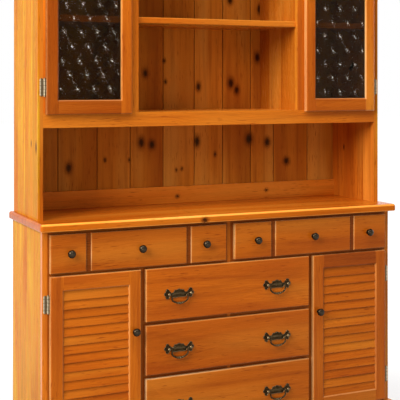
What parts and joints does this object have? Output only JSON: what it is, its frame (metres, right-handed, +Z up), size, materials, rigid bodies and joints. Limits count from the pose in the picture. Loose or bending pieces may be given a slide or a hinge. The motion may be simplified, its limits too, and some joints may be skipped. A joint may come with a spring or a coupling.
{
  "type": "trastero cabinet",
  "caption": "Two-part pine cabinet: a base with drawers and louvred doors, and a hutch with patterned glass doors and open shelves.",
  "frame": {"origin": "on the floor, under the middle of the cabinet's bounding box", "axes": "+X to the right as one faces the cabinet, +Y from the front to the back, +Z up"},
  "size_m": [1.46, 0.4244, 1.97],
  "materials": {
    "worktop": "glossy honey-orange lacquer on pine",
    "side_boards": "glossy honey-orange lacquer on pine",
    "frame_wood": "glossy honey-orange lacquer on pine",
    "front_wood": "glossy honey-orange lacquer on pine",
    "slat_wood": "glossy honey-orange lacquer on pine",
    "back_boards": "satin stained knotty pine, tongue and groove",
    "inner_wood": "satin stained pine",
    "drawer_wood": "plain planed pine",
    "antique_brass": "dark antique brass, rubbed bright on its high spots",
    "pale_brass": "satin brass, a little dulled",
    "catch_case": "matte brown",
    "pattern_glass": "pressed glass in a small tufted pattern"
  },
  "bodies": {
    "cabinet": {"worktop": "worktop", "base_sides": "side_boards", "hutch_sides": "side_boards", "base_face_frame": "frame_wood", "hutch_face_frame": "frame_wood", "plinth_boards": "frame_wood", "cornice_moulding": "frame_wood", "hutch_back_rail": "frame_wood", "hutch_open_shelf": "frame_wood", "base_back_boards": "back_boards", "hutch_back_boards": "back_boards", "base_floor_board": "inner_wood", "dust_board": "inner_wood", "base_partitions": "inner_wood", "cupboard_shelves": "inner_wood", "drawer_runners": "inner_wood", "hutch_floor_board": "inner_wood", "hutch_partitions": "inner_wood", "hutch_top_board": "inner_wood", "hutch_dowels": "inner_wood", "hinge_frame_leaves": "pale_brass", "hinge_pins_and_screws": "pale_brass", "door_catches": "catch_case"},
    "left_top_drawer": {"left_top_drawer_front": "front_wood", "left_top_drawer_box": "drawer_wood", "left_top_drawer_knobs": "antique_brass"},
    "right_top_drawer": {"right_top_drawer_front": "front_wood", "right_top_drawer_box": "drawer_wood", "right_top_drawer_knobs": "antique_brass"},
    "lower_drawer": {"lower_drawer_front": "front_wood", "lower_drawer_box": "drawer_wood", "lower_drawer_pull_plates": "antique_brass"},
    "lower_drawer_left_bail": {"lower_drawer_left_bail": "antique_brass"},
    "lower_drawer_right_bail": {"lower_drawer_right_bail": "antique_brass"},
    "middle_drawer": {"middle_drawer_front": "front_wood", "middle_drawer_box": "drawer_wood", "middle_drawer_pull_plates": "antique_brass"},
    "middle_drawer_left_bail": {"middle_drawer_left_bail": "antique_brass"},
    "middle_drawer_right_bail": {"middle_drawer_right_bail": "antique_brass"},
    "upper_drawer": {"upper_drawer_front": "front_wood", "upper_drawer_box": "drawer_wood", "upper_drawer_pull_plates": "antique_brass"},
    "upper_drawer_left_bail": {"upper_drawer_left_bail": "antique_brass"},
    "upper_drawer_right_bail": {"upper_drawer_right_bail": "antique_brass"},
    "left_louvre_door": {"left_louvre_door_frame": "front_wood", "left_louvre_door_slats": "slat_wood", "left_louvre_door_knob": "antique_brass", "left_louvre_door_plates": "pale_brass"},
    "left_glass_door": {"left_glass_door_frame": "front_wood", "left_glass_door_pane": "pattern_glass", "left_glass_door_knob": "antique_brass", "left_glass_door_plates": "pale_brass"},
    "right_louvre_door": {"right_louvre_door_frame": "front_wood", "right_louvre_door_slats": "slat_wood", "right_louvre_door_knob": "antique_brass", "right_louvre_door_plates": "pale_brass"},
    "right_glass_door": {"right_glass_door_frame": "front_wood", "right_glass_door_pane": "pattern_glass", "right_glass_door_knob": "antique_brass", "right_glass_door_plates": "pale_brass"}
  },
  "joints": [
    {"name": "left_top_drawer_slide", "type": "slide", "parent": "cabinet", "child": "left_top_drawer", "axis": [0, -1, 0], "range_m": [0, 0.28]},
    {"name": "right_top_drawer_slide", "type": "slide", "parent": "cabinet", "child": "right_top_drawer", "axis": [0, -1, 0], "range_m": [0, 0.28]},
    {"name": "lower_drawer_slide", "type": "slide", "parent": "cabinet", "child": "lower_drawer", "axis": [0, -1, 0], "range_m": [0, 0.28]},
    {"name": "middle_drawer_slide", "type": "slide", "parent": "cabinet", "child": "middle_drawer", "axis": [0, -1, 0], "range_m": [0, 0.28]},
    {"name": "upper_drawer_slide", "type": "slide", "parent": "cabinet", "child": "upper_drawer", "axis": [0, -1, 0], "range_m": [0, 0.28]},
    {"name": "left_louvre_door_hinge", "type": "hinge", "parent": "cabinet", "child": "left_louvre_door", "pos_m": [-0.6805, -0.17075, 0.399], "axis": [0, 0, -1], "range_deg": [0, 105]},
    {"name": "right_louvre_door_hinge", "type": "hinge", "parent": "cabinet", "child": "right_louvre_door", "pos_m": [0.6805, -0.17075, 0.399], "axis": [0, 0, 1], "range_deg": [0, 105]},
    {"name": "left_glass_door_hinge", "type": "hinge", "parent": "cabinet", "child": "left_glass_door", "pos_m": [-0.6741, -0.10675, 1.5675], "axis": [0, 0, -1], "range_deg": [0, 105]},
    {"name": "right_glass_door_hinge", "type": "hinge", "parent": "cabinet", "child": "right_glass_door", "pos_m": [0.6741, -0.10675, 1.5675], "axis": [0, 0, 1], "range_deg": [0, 105]},
    {"name": "lower_drawer_left_bail_swing", "type": "hinge", "parent": "lower_drawer", "child": "lower_drawer_left_bail", "pos_m": [-0.206, -0.19625, 0.2065], "axis": [-1, 0, 0], "range_deg": [-8, 90]},
    {"name": "lower_drawer_right_bail_swing", "type": "hinge", "parent": "lower_drawer", "child": "lower_drawer_right_bail", "pos_m": [0.19, -0.19625, 0.2065], "axis": [-1, 0, 0], "range_deg": [-8, 90]},
    {"name": "middle_drawer_left_bail_swing", "type": "hinge", "parent": "middle_drawer", "child": "middle_drawer_left_bail", "pos_m": [-0.206, -0.19625, 0.405], "axis": [-1, 0, 0], "range_deg": [-8, 90]},
    {"name": "middle_drawer_right_bail_swing", "type": "hinge", "parent": "middle_drawer", "child": "middle_drawer_right_bail", "pos_m": [0.19, -0.19625, 0.405], "axis": [-1, 0, 0], "range_deg": [-8, 90]},
    {"name": "upper_drawer_left_bail_swing", "type": "hinge", "parent": "upper_drawer", "child": "upper_drawer_left_bail", "pos_m": [-0.206, -0.19625, 0.5975], "axis": [-1, 0, 0], "range_deg": [-8, 90]},
    {"name": "upper_drawer_right_bail_swing", "type": "hinge", "parent": "upper_drawer", "child": "upper_drawer_right_bail", "pos_m": [0.19, -0.19625, 0.5975], "axis": [-1, 0, 0], "range_deg": [-8, 90]}
  ]
}
